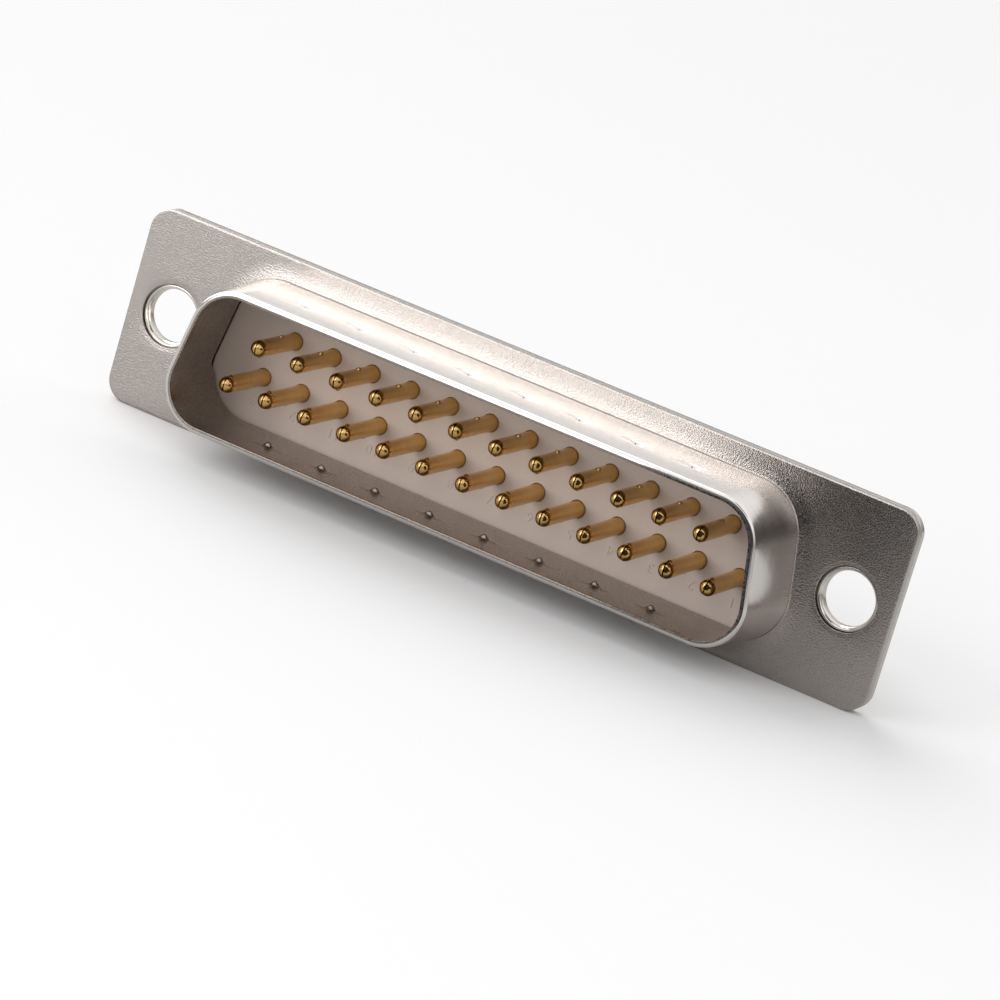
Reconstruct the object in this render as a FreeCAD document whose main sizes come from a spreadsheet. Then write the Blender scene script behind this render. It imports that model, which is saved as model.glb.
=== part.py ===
import FreeCAD, Part
import math
import os
import Sketcher
from FreeCAD import Vector

# A 25-way D-sub plug with solder cups, front (mating side) towards -Y, long axis along X.
# The wide row of 13 contacts lies towards -Z, the narrow row of 12 towards +Z.
# The origin is the centre of the flange's front face. All lengths are millimetres.

WIDE_ROW = 13
NARROW_ROW = WIDE_ROW - 1
DIMPLES = 8

# Places this close together are the same place, and a cut this small removes nothing.
SAME_PLACE = 0.001
SAME_VOLUME = 0.0001

# From one contact to the next, the turn within a contact's play moves on by this many radians.
TURN_STEP = 2.4

doc = FreeCAD.newDocument("dsub_plug")

# Driving sizes, one named cell each

SIZES = [
    ("contact_pitch", 2.77, "distance between neighbouring contacts of a row"),
    ("row_spacing", 2.84, "distance between the two rows"),
    ("end_margin", 2.90, "last wide-row contact to the inside of the shroud's end"),
    ("row_margin", 2.76, "row of contacts to the inside of the shroud's long side"),
    ("shroud_corner", 2.50, "inner corner radius of the shroud"),
    ("side_angle", 10.0, "slope of the two end walls, degrees"),
    ("shroud_rise", 5.75, "front rim of the shroud ahead of the flange face"),
    ("sheet_gauge", 0.50, "thickness of each flange sheet"),
    ("drawn_wall", 0.40, "drawn walls, thinner than the sheet they came from"),
    ("bend_radius", 0.40, "outside bend between a flange and its drawn wall"),
    ("inner_bevel", 0.50, "bevel inside both bends, behind the insulator's edge"),
    ("rim_bevel", 0.10, "broken outer edge of the shroud's rim"),
    ("hole_offset", 4.00, "mounting hole centre beyond the shroud's inner end"),
    ("hole_edge", 3.00, "mounting hole centre to the flange's short edge"),
    ("flange_shelf", 2.095, "flange beyond the shroud's inner long side"),
    ("flange_corner", 1.45, "corner radius of the flanges"),
    ("edge_bevel", 0.12, "edge broken by blanking, round the front flange and its holes"),
    ("hole_diameter", 3.30, "bore of the eyelets"),
    ("eyelet_wall", 0.28, "wall of the drawn eyelet tubes"),
    ("eyelet_clear", 0.04, "gap between an eyelet and the front sheet's hole"),
    ("eyelet_sink", 0.12, "front end of an eyelet behind the flange face"),
    ("eyelet_nose", 0.12, "broken edges at the front end of an eyelet"),
    ("eyelet_roll", 0.22, "drawn-in edge of an eyelet at the rear face"),
    ("dimple_pitch", 3.80, "distance between neighbouring grounding dimples"),
    ("dimple_setback", 3.15, "dimple centres ahead of the flange face"),
    ("dimple_length", 2.20, "length of a dimple along the wall"),
    ("dimple_width", 0.85, "width of a dimple across the wall"),
    ("dimple_depth", 0.26, "depth of a dimple in the wall"),
    ("dimple_foot", 0.15, "size of a dimple's foot as a share of its mouth"),
    ("insulator_margin", 0.60, "insulator outline outside the shroud's inner outline"),
    ("insulator_clear", 0.05, "gap between the insulator and the can"),
    ("can_depth", 3.90, "rear can behind the rear flange face"),
    ("can_bevel", 0.40, "outer edge of the can's rear end"),
    ("can_lip", 0.80, "width of the inward lip at the can's rear end"),
    ("rear_boss", 1.20, "insulator beyond the can's rear end"),
    ("pin_diameter", 1.02, "contact pins"),
    ("pin_reach", 4.49, "pin tips ahead of the flange face"),
    ("pin_clear", 0.06, "gap round each pin in the insulator"),
    ("tip_length", 0.36, "tapered end of a pin"),
    ("tip_flat", 0.50, "diameter left at the end of that taper"),
    ("barrel_diameter", 1.60, "barrel and solder cup of a contact"),
    ("cup_bore", 1.10, "bore of the solder cup"),
    ("cup_depth", 2.90, "depth of the solder cup's bore"),
    ("cup_reach", 6.40, "end of the cups behind the can's rear end"),
    ("cup_edge", 0.10, "cut-away side of the cup ends this far from its axis"),
    ("seat_turn", 6.0, "largest turn of a contact in its hole, degrees"),
]

sheet = doc.addObject("Spreadsheet::Sheet", "Sizes")
for line, (alias, size, meaning) in enumerate(SIZES, 1):
    sheet.set("A%d" % line, meaning)
    sheet.set("B%d" % line, str(size))
    sheet.setAlias("B%d" % line, alias)
doc.recompute()

# Lengths that follow from the driving sizes

SHROUD_WIDTH = "(%d * Sizes.contact_pitch + 2 * Sizes.end_margin)" % (WIDE_ROW - 1)
SHROUD_HEIGHT = "(Sizes.row_spacing + 2 * Sizes.row_margin)"
HOLE_SPACING = "(%s + 2 * Sizes.hole_offset)" % SHROUD_WIDTH
FLANGE_LENGTH = "(%s + 2 * Sizes.hole_edge)" % HOLE_SPACING
FLANGE_HEIGHT = "(%s + 2 * Sizes.flange_shelf)" % SHROUD_HEIGHT
REAR_FACE = "(2 * Sizes.sheet_gauge)"
CAN_END = "(%s + Sizes.can_depth)" % REAR_FACE
CAN_INNER = "(Sizes.insulator_margin + Sizes.insulator_clear)"
LIP_INNER = "(%s - Sizes.can_lip)" % CAN_INNER
BLOCK_END = "(%s + Sizes.rear_boss)" % CAN_END


def value(expression):
    """The number that an expression of the sheet's cells stands for."""
    return float(sheet.evalExpression(expression))


def new_body(name):
    """A sub-part; its Label is its name and the name of its file."""
    body = doc.addObject("PartDesign::Body", name)
    body.Label = name
    return body


def own_origin(body, role):
    """A plane or axis of the body's own origin."""
    return [item for item in body.Origin.OriginFeatures if item.Role == role][0]


def attach(feature, body, role, offset):
    """Put a feature on one of the body's own origin planes, shifted along the plane's axes."""
    feature.AttachmentSupport = [(own_origin(body, role), "")]
    feature.MapMode = "FlatFace"
    for axis, expression in offset.items():
        feature.setExpression("AttachmentOffset.Base." + axis, expression)


def new_sketch(body, role, name, **offset):
    """A sketch on one of the body's own origin planes, shifted along the sketch's axes."""
    sketch = body.newObject("Sketcher::SketchObject", name)
    attach(sketch, body, role, offset)
    return sketch


def bind(sketch, kind, refs, expression):
    """A dimension whose size is an expression of the sheet's cells."""
    number = sketch.addConstraint(Sketcher.Constraint(kind, *refs, value(expression)))
    sketch.setExpression("Constraints[%d]" % number, expression)


def draw_outline(sketch, lower, upper, rise, radius):
    """Four corner arcs joined by tangent lines, symmetric about the sketch's vertical axis.

    lower and upper are the distances between the corner centres at each level, rise the
    distance between the levels, radius the corner radius."""
    low, high = value(lower) / 2, value(upper) / 2
    level, size = value(rise) / 2, value(radius)
    lean = math.atan2(low - high, 2 * level)
    centres = [(low, -level), (high, level), (-high, level), (-low, -level)]
    starts = [-math.pi / 2, lean, math.pi / 2, math.pi - lean]
    ends = [lean, math.pi / 2, math.pi - lean, 3 * math.pi / 2]
    arcs = []
    for (across, up), start, end in zip(centres, starts, ends):
        circle = Part.Circle(Vector(across, up, 0), Vector(0, 0, 1), size)
        arcs.append(sketch.addGeometry(Part.ArcOfCircle(circle, start, end)))
    lines = []
    for index in range(4):
        tail = sketch.getPoint(arcs[index], 2)
        head = sketch.getPoint(arcs[(index + 1) % 4], 1)
        lines.append(sketch.addGeometry(Part.LineSegment(tail, head)))
    for index in range(4):
        follower = (index + 1) % 4
        sketch.addConstraint(Sketcher.Constraint("Tangent", arcs[index], 2, lines[index], 1))
        sketch.addConstraint(Sketcher.Constraint("Tangent", lines[index], 2, arcs[follower], 1))
    for arc in arcs[1:]:
        sketch.addConstraint(Sketcher.Constraint("Equal", arcs[0], arc))
    sketch.addConstraint(Sketcher.Constraint("Symmetric", lines[1], 1, lines[1], 2, -2))
    sketch.addConstraint(Sketcher.Constraint("Symmetric", lines[3], 1, lines[3], 2, -2))
    bind(sketch, "Radius", (arcs[0],), radius)
    bind(sketch, "DistanceX", (arcs[3], 3, arcs[0], 3), lower)
    bind(sketch, "DistanceX", (arcs[2], 3, arcs[1], 3), upper)
    bind(sketch, "DistanceY", (arcs[0], 3, arcs[1], 3), rise)
    bind(sketch, "DistanceY", (-1, 1, arcs[1], 3), "%s / 2" % rise)


def draw_d(sketch, grow):
    """The shroud's inner D outline, moved outwards by grow; the arc centres stay."""
    rise = "(%s - 2 * Sizes.shroud_corner)" % SHROUD_HEIGHT
    lower = "(%s - 2 * Sizes.shroud_corner)" % SHROUD_WIDTH
    upper = "(%s - 2 * %s * tan(Sizes.side_angle * 1 deg))" % (lower, rise)
    draw_outline(sketch, lower, upper, rise, "(Sizes.shroud_corner + %s)" % grow)


def draw_flange(sketch):
    """The rounded rectangle that both flanges share."""
    length = "(%s - 2 * Sizes.flange_corner)" % FLANGE_LENGTH
    rise = "(%s - 2 * Sizes.flange_corner)" % FLANGE_HEIGHT
    draw_outline(sketch, length, length, rise, "Sizes.flange_corner")


def draw_circle(sketch, radius):
    """A circle round the sketch's origin."""
    circle = sketch.addGeometry(Part.Circle(Vector(0, 0, 0), Vector(0, 0, 1), value(radius)))
    sketch.addConstraint(Sketcher.Constraint("Coincident", circle, 3, -1, 1))
    bind(sketch, "Radius", (circle,), radius)


def pin_down(sketch, line, end, across, up):
    """Hold a line's end at a place given by two expressions, 0 meaning on the axis."""
    if across == "0":
        sketch.addConstraint(Sketcher.Constraint("PointOnObject", line, end, -2))
    else:
        bind(sketch, "DistanceX", (-1, 1, line, end), across)
    if up == "0":
        sketch.addConstraint(Sketcher.Constraint("PointOnObject", line, end, -1))
    else:
        bind(sketch, "DistanceY", (-1, 1, line, end), up)


def draw_polygon(sketch, corners):
    """A closed polygon through corners given as pairs of expressions."""
    places = [Vector(value(across), value(up), 0) for across, up in corners]
    lines = []
    for index, place in enumerate(places):
        follower = places[(index + 1) % len(places)]
        lines.append(sketch.addGeometry(Part.LineSegment(place, follower)))
    for index, line in enumerate(lines):
        follower = lines[(index + 1) % len(lines)]
        sketch.addConstraint(Sketcher.Constraint("Coincident", line, 2, follower, 1))
        pin_down(sketch, line, 1, *corners[index])


def edges_where(feature, test):
    """Names of the edges whose bounding box passes the test."""
    doc.recompute()
    edges = enumerate(feature.Shape.Edges, 1)
    return ["Edge%d" % number for number, edge in edges if test(edge.BoundBox)]


def at_level(box, level):
    """Whether a bounding box lies flat at one Y level."""
    return abs(box.YMin - level) < SAME_PLACE and abs(box.YMax - level) < SAME_PLACE


def within_d(box, grow):
    """Whether a bounding box lies inside that of the D outline moved outwards by grow."""
    half_width = value("%s / 2 + %s" % (SHROUD_WIDTH, grow)) + SAME_PLACE
    half_height = value("%s / 2 + %s" % (SHROUD_HEIGHT, grow)) + SAME_PLACE
    across = max(abs(box.XMin), abs(box.XMax))
    up = max(abs(box.ZMin), abs(box.ZMax))
    return across < half_width and up < half_height


def is_hole_edge(box, level, radius):
    """Whether a bounding box is that of a mounting hole's circle at one Y level."""
    size = value(radius)
    as_high = abs(box.ZMax - size) < SAME_PLACE and abs(box.ZMin + size) < SAME_PLACE
    return at_level(box, level) and as_high


def add_pad(body, name, sketch, length, backwards):
    """Extrude a sketch forwards, to -Y, or backwards."""
    pad = body.newObject("PartDesign::Pad", name)
    pad.Profile = sketch
    pad.Reversed = backwards
    pad.setExpression("Length", length)
    doc.recompute()
    return pad


def add_pocket(body, name, sketch, **settings):
    """Cut a sketch's outline through the body, and make sure that it removed something."""
    before = body.Shape.Volume
    length = settings.pop("length", None)
    pocket = body.newObject("PartDesign::Pocket", name)
    pocket.Profile = sketch
    pocket.Type = "Length" if length else "ThroughAll"
    for setting, choice in settings.items():
        setattr(pocket, setting, choice)
    if length:
        pocket.setExpression("Length", length)
    doc.recompute()
    if body.Shape.Volume > before - SAME_VOLUME:
        raise RuntimeError("%s cuts nothing" % name)
    return pocket


def add_fillet(body, name, feature, edges, radius):
    """Round the named edges of the last feature."""
    fillet = body.newObject("PartDesign::Fillet", name)
    fillet.Base = (feature, edges)
    fillet.setExpression("Radius", radius)
    doc.recompute()
    return fillet


def add_bevel(body, name, feature, edges, size):
    """Bevel the named edges of the last feature by the same size both ways."""
    bevel = body.newObject("PartDesign::Chamfer", name)
    bevel.Base = (feature, edges)
    bevel.setExpression("Size", size)
    doc.recompute()
    return bevel


def add_row(body, name, feature, copies, pitch):
    """Repeat a feature along X."""
    row = body.newObject("PartDesign::LinearPattern", name)
    row.Originals = [feature]
    row.Direction = (own_origin(body, "X_Axis"), [""])
    row.Occurrences = copies
    row.setExpression("Length", "%d * %s" % (copies - 1, pitch))
    body.Tip = row
    doc.recompute()
    return row


# The front shell: one sheet with flange, drawn D shroud, dimples and two plain holes

def dimple_row(body, side, sign):
    """The dimples of one long wall: the wall is raised inside, then dented outside by the
    same four-sided punch, so that it keeps its thickness."""
    inner = "(%s / 2)" % SHROUD_HEIGHT
    outer = "(%s + Sizes.drawn_wall)" % inner
    punch_sizes = [
        ("Xmin", "-Sizes.dimple_length / 2"),
        ("Xmax", "Sizes.dimple_length / 2"),
        ("Zmin", "-Sizes.dimple_width / 2"),
        ("Zmax", "Sizes.dimple_width / 2"),
        ("X2min", "-Sizes.dimple_foot * Sizes.dimple_length / 2"),
        ("X2max", "Sizes.dimple_foot * Sizes.dimple_length / 2"),
        ("Z2min", "-Sizes.dimple_foot * Sizes.dimple_width / 2"),
        ("Z2max", "Sizes.dimple_foot * Sizes.dimple_width / 2"),
        ("Ymax", "Sizes.dimple_depth"),
    ]
    inwards = FreeCAD.Rotation(Vector(1, 0, 0), -90 * sign)
    for kind, shape, level in (("bump", "Additive", inner), ("dent", "Subtractive", outer)):
        name = "%s_%s" % (side, kind)
        before = body.Shape.Volume
        punch = body.newObject("PartDesign::%sWedge" % shape, name)
        punch.AttachmentOffset = FreeCAD.Placement(Vector(0, 0, 0), inwards)
        attach(punch, body, "XY_Plane", {
            "x": "-%d * Sizes.dimple_pitch / 2" % (DIMPLES - 1),
            "y": "-Sizes.dimple_setback",
            "z": "%d * %s" % (sign, level)})
        for size, expression in punch_sizes:
            punch.setExpression(size, expression)
        doc.recompute()
        if abs(body.Shape.Volume - before) < SAME_VOLUME:
            raise RuntimeError("%s changes nothing" % name)
        add_row(body, name + "_row", punch, DIMPLES, "Sizes.dimple_pitch")


def make_front_shell():
    body = new_body("front_shell")
    flange_sketch = new_sketch(body, "XZ_Plane", "front_flange_sketch")
    draw_flange(flange_sketch)
    add_pad(body, "front_flange", flange_sketch, "Sizes.sheet_gauge", True)
    wall_sketch = new_sketch(body, "XZ_Plane", "shroud_outer_sketch")
    draw_d(wall_sketch, "Sizes.drawn_wall")
    wall = add_pad(body, "shroud_outer", wall_sketch, "Sizes.shroud_rise", False)
    root = edges_where(wall, lambda box: at_level(box, 0) and within_d(box, "Sizes.drawn_wall"))
    bend = add_fillet(body, "shroud_bend", wall, root, "Sizes.bend_radius")
    rise = value("Sizes.shroud_rise")
    rim = edges_where(bend, lambda box: at_level(box, -rise))
    add_bevel(body, "shroud_rim", bend, rim, "Sizes.rim_bevel")
    hollow_sketch = new_sketch(body, "XZ_Plane", "shroud_inner_sketch")
    draw_d(hollow_sketch, "0")
    hollow = add_pocket(body, "shroud_hollow", hollow_sketch, Midplane=True)
    gauge = value("Sizes.sheet_gauge")
    mouth = edges_where(hollow, lambda box: at_level(box, gauge) and within_d(box, "0"))
    inner = add_bevel(body, "shroud_inner_bend", hollow, mouth, "Sizes.inner_bevel")
    rim = edges_where(inner, lambda box: at_level(box, 0)
                      and not within_d(box, "(Sizes.drawn_wall + Sizes.bend_radius)"))
    add_bevel(body, "front_flange_edge", inner, rim, "Sizes.edge_bevel")
    radius = "(Sizes.hole_diameter / 2 + Sizes.eyelet_wall + Sizes.eyelet_clear)"
    for side, sign in (("left", "-"), ("right", "")):
        hole_sketch = new_sketch(body, "XZ_Plane", side + "_hole_sketch",
                                 x="%s%s / 2" % (sign, HOLE_SPACING))
        draw_circle(hole_sketch, radius)
        hole = add_pocket(body, side + "_hole", hole_sketch, Midplane=True)
    ring = edges_where(hole, lambda box: is_hole_edge(box, 0, radius))
    add_bevel(body, "front_hole_edges", hole, ring, "Sizes.edge_bevel")
    dimple_row(body, "upper", 1)
    dimple_row(body, "lower", -1)
    return body


# The rear shell: flange, eyelets drawn forwards, and a can drawn backwards with a lip

def make_rear_shell():
    body = new_body("rear_shell")
    flange_sketch = new_sketch(body, "XZ_Plane", "rear_flange_sketch", z="-Sizes.sheet_gauge")
    draw_flange(flange_sketch)
    add_pad(body, "rear_flange", flange_sketch, "Sizes.sheet_gauge", True)
    can_sketch = new_sketch(body, "XZ_Plane", "can_outer_sketch", z="-Sizes.sheet_gauge")
    draw_d(can_sketch, "(%s + Sizes.drawn_wall)" % CAN_INNER)
    can = add_pad(body, "can_outer", can_sketch, "(Sizes.sheet_gauge + Sizes.can_depth)", True)
    face, end = value(REAR_FACE), value(CAN_END)
    can_outer = "(%s + Sizes.drawn_wall)" % CAN_INNER
    root = edges_where(can, lambda box: at_level(box, face) and within_d(box, can_outer))
    bend = add_bevel(body, "can_bend", can, root, "Sizes.bend_radius")
    back = edges_where(bend, lambda box: at_level(box, end))
    add_bevel(body, "can_end_edge", bend, back, "Sizes.can_bevel")
    hollow_sketch = new_sketch(body, "XZ_Plane", "can_inner_sketch", z="-Sizes.sheet_gauge")
    draw_d(hollow_sketch, CAN_INNER)
    add_pocket(body, "can_hollow", hollow_sketch,
               length="(Sizes.sheet_gauge + Sizes.can_depth - Sizes.drawn_wall)")
    lip_sketch = new_sketch(body, "XZ_Plane", "can_lip_sketch")
    draw_d(lip_sketch, LIP_INNER)
    lip = add_pocket(body, "can_lip_opening", lip_sketch, Midplane=True)
    gauge = value("Sizes.sheet_gauge")
    mouth = edges_where(lip, lambda box: at_level(box, gauge) and within_d(box, CAN_INNER))
    add_bevel(body, "can_mouth_bend", lip, mouth, "Sizes.inner_bevel")
    for side, sign in (("left", "-"), ("right", "")):
        place = "%s%s / 2" % (sign, HOLE_SPACING)
        tube_sketch = new_sketch(body, "XZ_Plane", side + "_eyelet_sketch",
                                 x=place, z="-" + REAR_FACE)
        draw_circle(tube_sketch, "(Sizes.hole_diameter / 2 + Sizes.eyelet_wall)")
        add_pad(body, side + "_eyelet", tube_sketch, "(%s - Sizes.eyelet_sink)" % REAR_FACE, False)
        bore_sketch = new_sketch(body, "XZ_Plane", side + "_bore_sketch", x=place)
        draw_circle(bore_sketch, "Sizes.hole_diameter / 2")
        bore = add_pocket(body, side + "_bore", bore_sketch, Midplane=True)
    sink = value("Sizes.eyelet_sink")
    ends = edges_where(bore, lambda box: at_level(box, sink))
    nose = add_bevel(body, "eyelet_noses", bore, ends, "Sizes.eyelet_nose")
    rear = edges_where(nose, lambda box: is_hole_edge(box, face, "Sizes.hole_diameter / 2"))
    add_bevel(body, "eyelet_rolls", nose, rear, "Sizes.eyelet_roll")
    return body


# The moulded insulator: one block, trapped between the front sheet and the can's lip

ROWS = [("wide", WIDE_ROW, -1), ("narrow", NARROW_ROW, 1)]


def make_insulator():
    body = new_body("insulator")
    start = "Sizes.sheet_gauge"
    block_sketch = new_sketch(body, "XZ_Plane", "block_sketch", z="-" + start)
    draw_d(block_sketch, "Sizes.insulator_margin")
    add_pad(body, "block", block_sketch, "(%s - Sizes.drawn_wall - %s)" % (CAN_END, start), True)
    boss_sketch = new_sketch(body, "XZ_Plane", "boss_sketch", z="-" + start)
    draw_d(boss_sketch, "(%s - Sizes.insulator_clear)" % LIP_INNER)
    add_pad(body, "boss", boss_sketch, "(%s - %s)" % (BLOCK_END, start), True)
    for row, count, sign in ROWS:
        hole_sketch = new_sketch(
            body, "XZ_Plane", row + "_hole_sketch",
            x="-%d * Sizes.contact_pitch / 2" % (count - 1),
            y="%d * Sizes.row_spacing / 2" % sign)
        draw_circle(hole_sketch, "(Sizes.pin_diameter / 2 + Sizes.pin_clear)")
        hole = add_pocket(body, row + "_hole", hole_sketch, Midplane=True)
        add_row(body, row + "_holes", hole, count, "Sizes.contact_pitch")
    return body


# The contacts: stamped from strip and rolled, pressed in from behind up to their barrels

def make_contact(name, place, row_sign, turn):
    """A contact built round the Y axis with its cup open upwards, then set in its hole;
    a wide-row contact is turned half round, so that its cup opens downwards."""
    body = new_body(name)
    profile = new_sketch(body, "YZ_Plane", name + "_profile", x="-Sizes.pin_reach")
    radius = "Sizes.pin_diameter / 2"
    barrel = "(Sizes.pin_reach + %s)" % BLOCK_END
    tail = "(Sizes.pin_reach + %s + Sizes.cup_reach)" % CAN_END
    bottom = "(%s - Sizes.cup_depth)" % tail
    draw_polygon(profile, [
        ("0", "0"),
        ("0", "Sizes.tip_flat / 2"),
        ("Sizes.tip_length", radius),
        (barrel, radius),
        (barrel, "Sizes.barrel_diameter / 2"),
        (tail, "Sizes.barrel_diameter / 2"),
        (tail, "Sizes.cup_bore / 2"),
        (bottom, "Sizes.cup_bore / 2"),
        (bottom, "0"),
    ])
    turned = body.newObject("PartDesign::Revolution", name + "_turned")
    turned.Profile = profile
    turned.ReferenceAxis = (profile, ["H_Axis"])
    turned.Angle = 360
    doc.recompute()
    opening = new_sketch(body, "YZ_Plane", name + "_cup_sketch", x="-Sizes.pin_reach")
    draw_polygon(opening, [
        (bottom, "Sizes.cup_edge"),
        ("(%s + Sizes.cup_bore)" % tail, "Sizes.cup_edge"),
        ("(%s + Sizes.cup_bore)" % tail, "Sizes.barrel_diameter"),
        (bottom, "Sizes.barrel_diameter"),
    ])
    add_pocket(body, name + "_cup", opening, Midplane=True)
    body.Placement.Rotation = FreeCAD.Rotation(Vector(0, 1, 0), turn)
    body.setExpression("Placement.Base.x", "%s * Sizes.contact_pitch" % place)
    body.setExpression("Placement.Base.z", "%d * Sizes.row_spacing / 2" % row_sign)
    return body


def make_contacts():
    """Contact 1 is at the +X end of the wide row and contact 14 at that of the narrow row."""
    contacts = []
    number = 0
    for row, count, sign in ROWS:
        for index in range(count):
            number += 1
            turn = value("Sizes.seat_turn") * math.sin(TURN_STEP * number)
            turn += 180 if sign < 0 else 0
            contacts.append(make_contact(
                "contact_%02d" % number, (count - 1) / 2 - index, sign, turn))
    return contacts


parts = [make_front_shell(), make_rear_shell(), make_insulator()] + make_contacts()
doc.recompute()

for item in doc.Objects:
    if "Invalid" in item.State or "Error" in item.State:
        raise RuntimeError("%s failed: %s" % (item.Name, item.State))
for part in parts:
    if part.Shape.isNull() or not part.Shape.isValid() or len(part.Shape.Solids) != 1:
        raise RuntimeError("%s has no single valid solid" % part.Label)

os.makedirs("parts", exist_ok=True)
for part in parts:
    part.Shape.exportStep("parts/%s.step" % part.Label)
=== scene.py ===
import bmesh
import bpy
import numpy as np
from math import radians
from mathutils.geometry import tessellate_polygon
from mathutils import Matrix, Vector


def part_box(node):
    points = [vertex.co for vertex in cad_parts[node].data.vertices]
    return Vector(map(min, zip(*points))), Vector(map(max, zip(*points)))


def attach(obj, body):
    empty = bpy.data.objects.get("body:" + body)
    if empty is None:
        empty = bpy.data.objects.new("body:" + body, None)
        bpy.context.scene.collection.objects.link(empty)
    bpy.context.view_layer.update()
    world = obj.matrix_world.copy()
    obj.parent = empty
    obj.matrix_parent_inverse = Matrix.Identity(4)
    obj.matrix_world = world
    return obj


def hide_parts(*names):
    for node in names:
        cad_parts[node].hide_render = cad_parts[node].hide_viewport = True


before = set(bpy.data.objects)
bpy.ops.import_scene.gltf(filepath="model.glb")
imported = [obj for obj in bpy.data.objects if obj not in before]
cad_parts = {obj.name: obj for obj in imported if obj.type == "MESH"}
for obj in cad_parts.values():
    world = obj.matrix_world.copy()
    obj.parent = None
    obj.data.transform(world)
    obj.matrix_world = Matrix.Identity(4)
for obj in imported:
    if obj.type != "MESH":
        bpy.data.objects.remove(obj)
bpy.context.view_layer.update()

# The photographed view: a long lens a third of a metre away, from the right and a little above,
# rolled so that the plug runs downhill from left to right. Places are in metres.
LENS, SENSOR = 203.14, 36.0
CLIP_START, CLIP_END = 0.01, 50.0
CAMERA_PLACE = (0.127415, -0.298297, 0.084816)
CAMERA_TURN = (74.278, -16.007, 27.429)

camera_data = bpy.data.cameras.new("view")
camera_data.lens = LENS
camera_data.sensor_width = SENSOR
camera_data.clip_start = CLIP_START
camera_data.clip_end = CLIP_END
camera = bpy.data.objects.new("view", camera_data)
camera.location = CAMERA_PLACE
camera.rotation_euler = [radians(angle) for angle in CAMERA_TURN]
bpy.context.collection.objects.link(camera)
bpy.context.scene.camera = camera
bpy.context.scene.view_settings.view_transform = "Standard"

# The table: a sheet of white card under the long edge of the flange, on which the plug stands.
# Every ray but the camera's own finds it greyer, which keeps the metal that mirrors it dark.
TABLE_SIZE = 6.0
TABLE_COLOUR = (0.97, 0.97, 0.975, 1.0)
TABLE_MIRRORED = (0.60, 0.60, 0.60, 1.0)
TABLE_ROUGHNESS, TABLE_SHINE = 0.9, 0.1


def feed(tree, node, inputs):
    """Give a shader node its inputs, by name or number. Each is a plain value, or another node's
    output, which is linked."""
    for place, value in inputs.items():
        if isinstance(value, bpy.types.NodeSocket):
            tree.links.new(value, node.inputs[place])
        else:
            node.inputs[place].default_value = value


def add_node(tree, kind, inputs, data_type=None, operation=None):
    """Add a shader node to a tree and feed its inputs."""
    node = tree.nodes.new(kind)
    if data_type:
        node.data_type = data_type
    if operation:
        node.operation = operation
    feed(tree, node, inputs)
    return node


def blend(tree, factor, first, second, data_type="RGBA"):
    """The first colour or number where the factor is 0, the second where it is 1."""
    inputs = {"Factor": factor, "A": first, "B": second}
    return add_node(tree, "ShaderNodeMix", inputs, data_type=data_type).outputs["Result"]


def new_material(name):
    """A new material, its node tree and its main shader."""
    material = bpy.data.materials.new(name)
    material.use_nodes = True
    return material, material.node_tree, material.node_tree.nodes["Principled BSDF"]


half = TABLE_SIZE / 2
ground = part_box("front_shell")[0][2]
table_mesh = bpy.data.meshes.new("table")
table_mesh.from_pydata(
    [(-half, -half, ground), (half, -half, ground), (half, half, ground), (-half, half, ground)],
    [], [(0, 1, 2, 3)])
table = bpy.data.objects.new("table", table_mesh)
bpy.context.collection.objects.link(table)
white_card, tree, shader = new_material("white_card")
for_camera = add_node(tree, "ShaderNodeLightPath", {}).outputs["Is Camera Ray"]
feed(tree, shader, {"Base Color": blend(tree, for_camera, TABLE_MIRRORED, TABLE_COLOUR),
                    "Roughness": TABLE_ROUGHNESS, "Specular IOR Level": TABLE_SHINE})
table_mesh.materials.append(white_card)

# The studio: a white room, a broad soft lamp overhead, a soft box in front on the left, and three
# black cards on the right and overhead, which cast no shadow and show in the metal alone as
# painted dark reflections. Places are in metres.
WHITE = (1.0, 1.0, 1.0, 1.0)
BACKDROP_LIGHT, ROOM_LIGHT = 1.0, 0.62
MIRRORED_ROOM = (0.8, 0.8, 0.8, 1.0)
ROOM_AHEAD, ROOM_BEHIND, ROOM_ABOVE = 0.34, 0.30, 0.97
AHEAD_AT, BEHIND_AT = -0.9, 0.2
ABOVE_FROM, ABOVE_AT = 0.05, 0.6
SUN_STRENGTH, SUN_WIDTH = 1.66, 60.0
SUN_TURN = (-22.0, -54.0, 0.0)
BOX_SIZE, BOX_POWER = 0.34, 0.9
BOX_PLACE = (-0.25, -0.42, 0.17)
BOX_TURN = (71.0, 0.0, -31.0)
CARD_COLOUR, CARD_ROUGHNESS = (0.03, 0.03, 0.03, 1.0), 0.9
# The left, right, front, back, bottom and top of each card: two stand upright and one lies level.
CARDS = ((0.008, 0.023, -0.014, -0.014, ground, 0.012),
         (0.018, 0.085, -0.040, -0.040, -0.004, 0.035),
         (0.025, 0.100, -0.065, -0.010, 0.120, 0.120))


def ramp(tree, value, start, stop, low=0.0, high=1.0):
    """A value carried in a straight line from start and stop onto low and high, and held there
    outside them."""
    inputs = {"Value": value, "From Min": start, "From Max": stop, "To Min": low, "To Max": high}
    return add_node(tree, "ShaderNodeMapRange", inputs).outputs["Result"]


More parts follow.
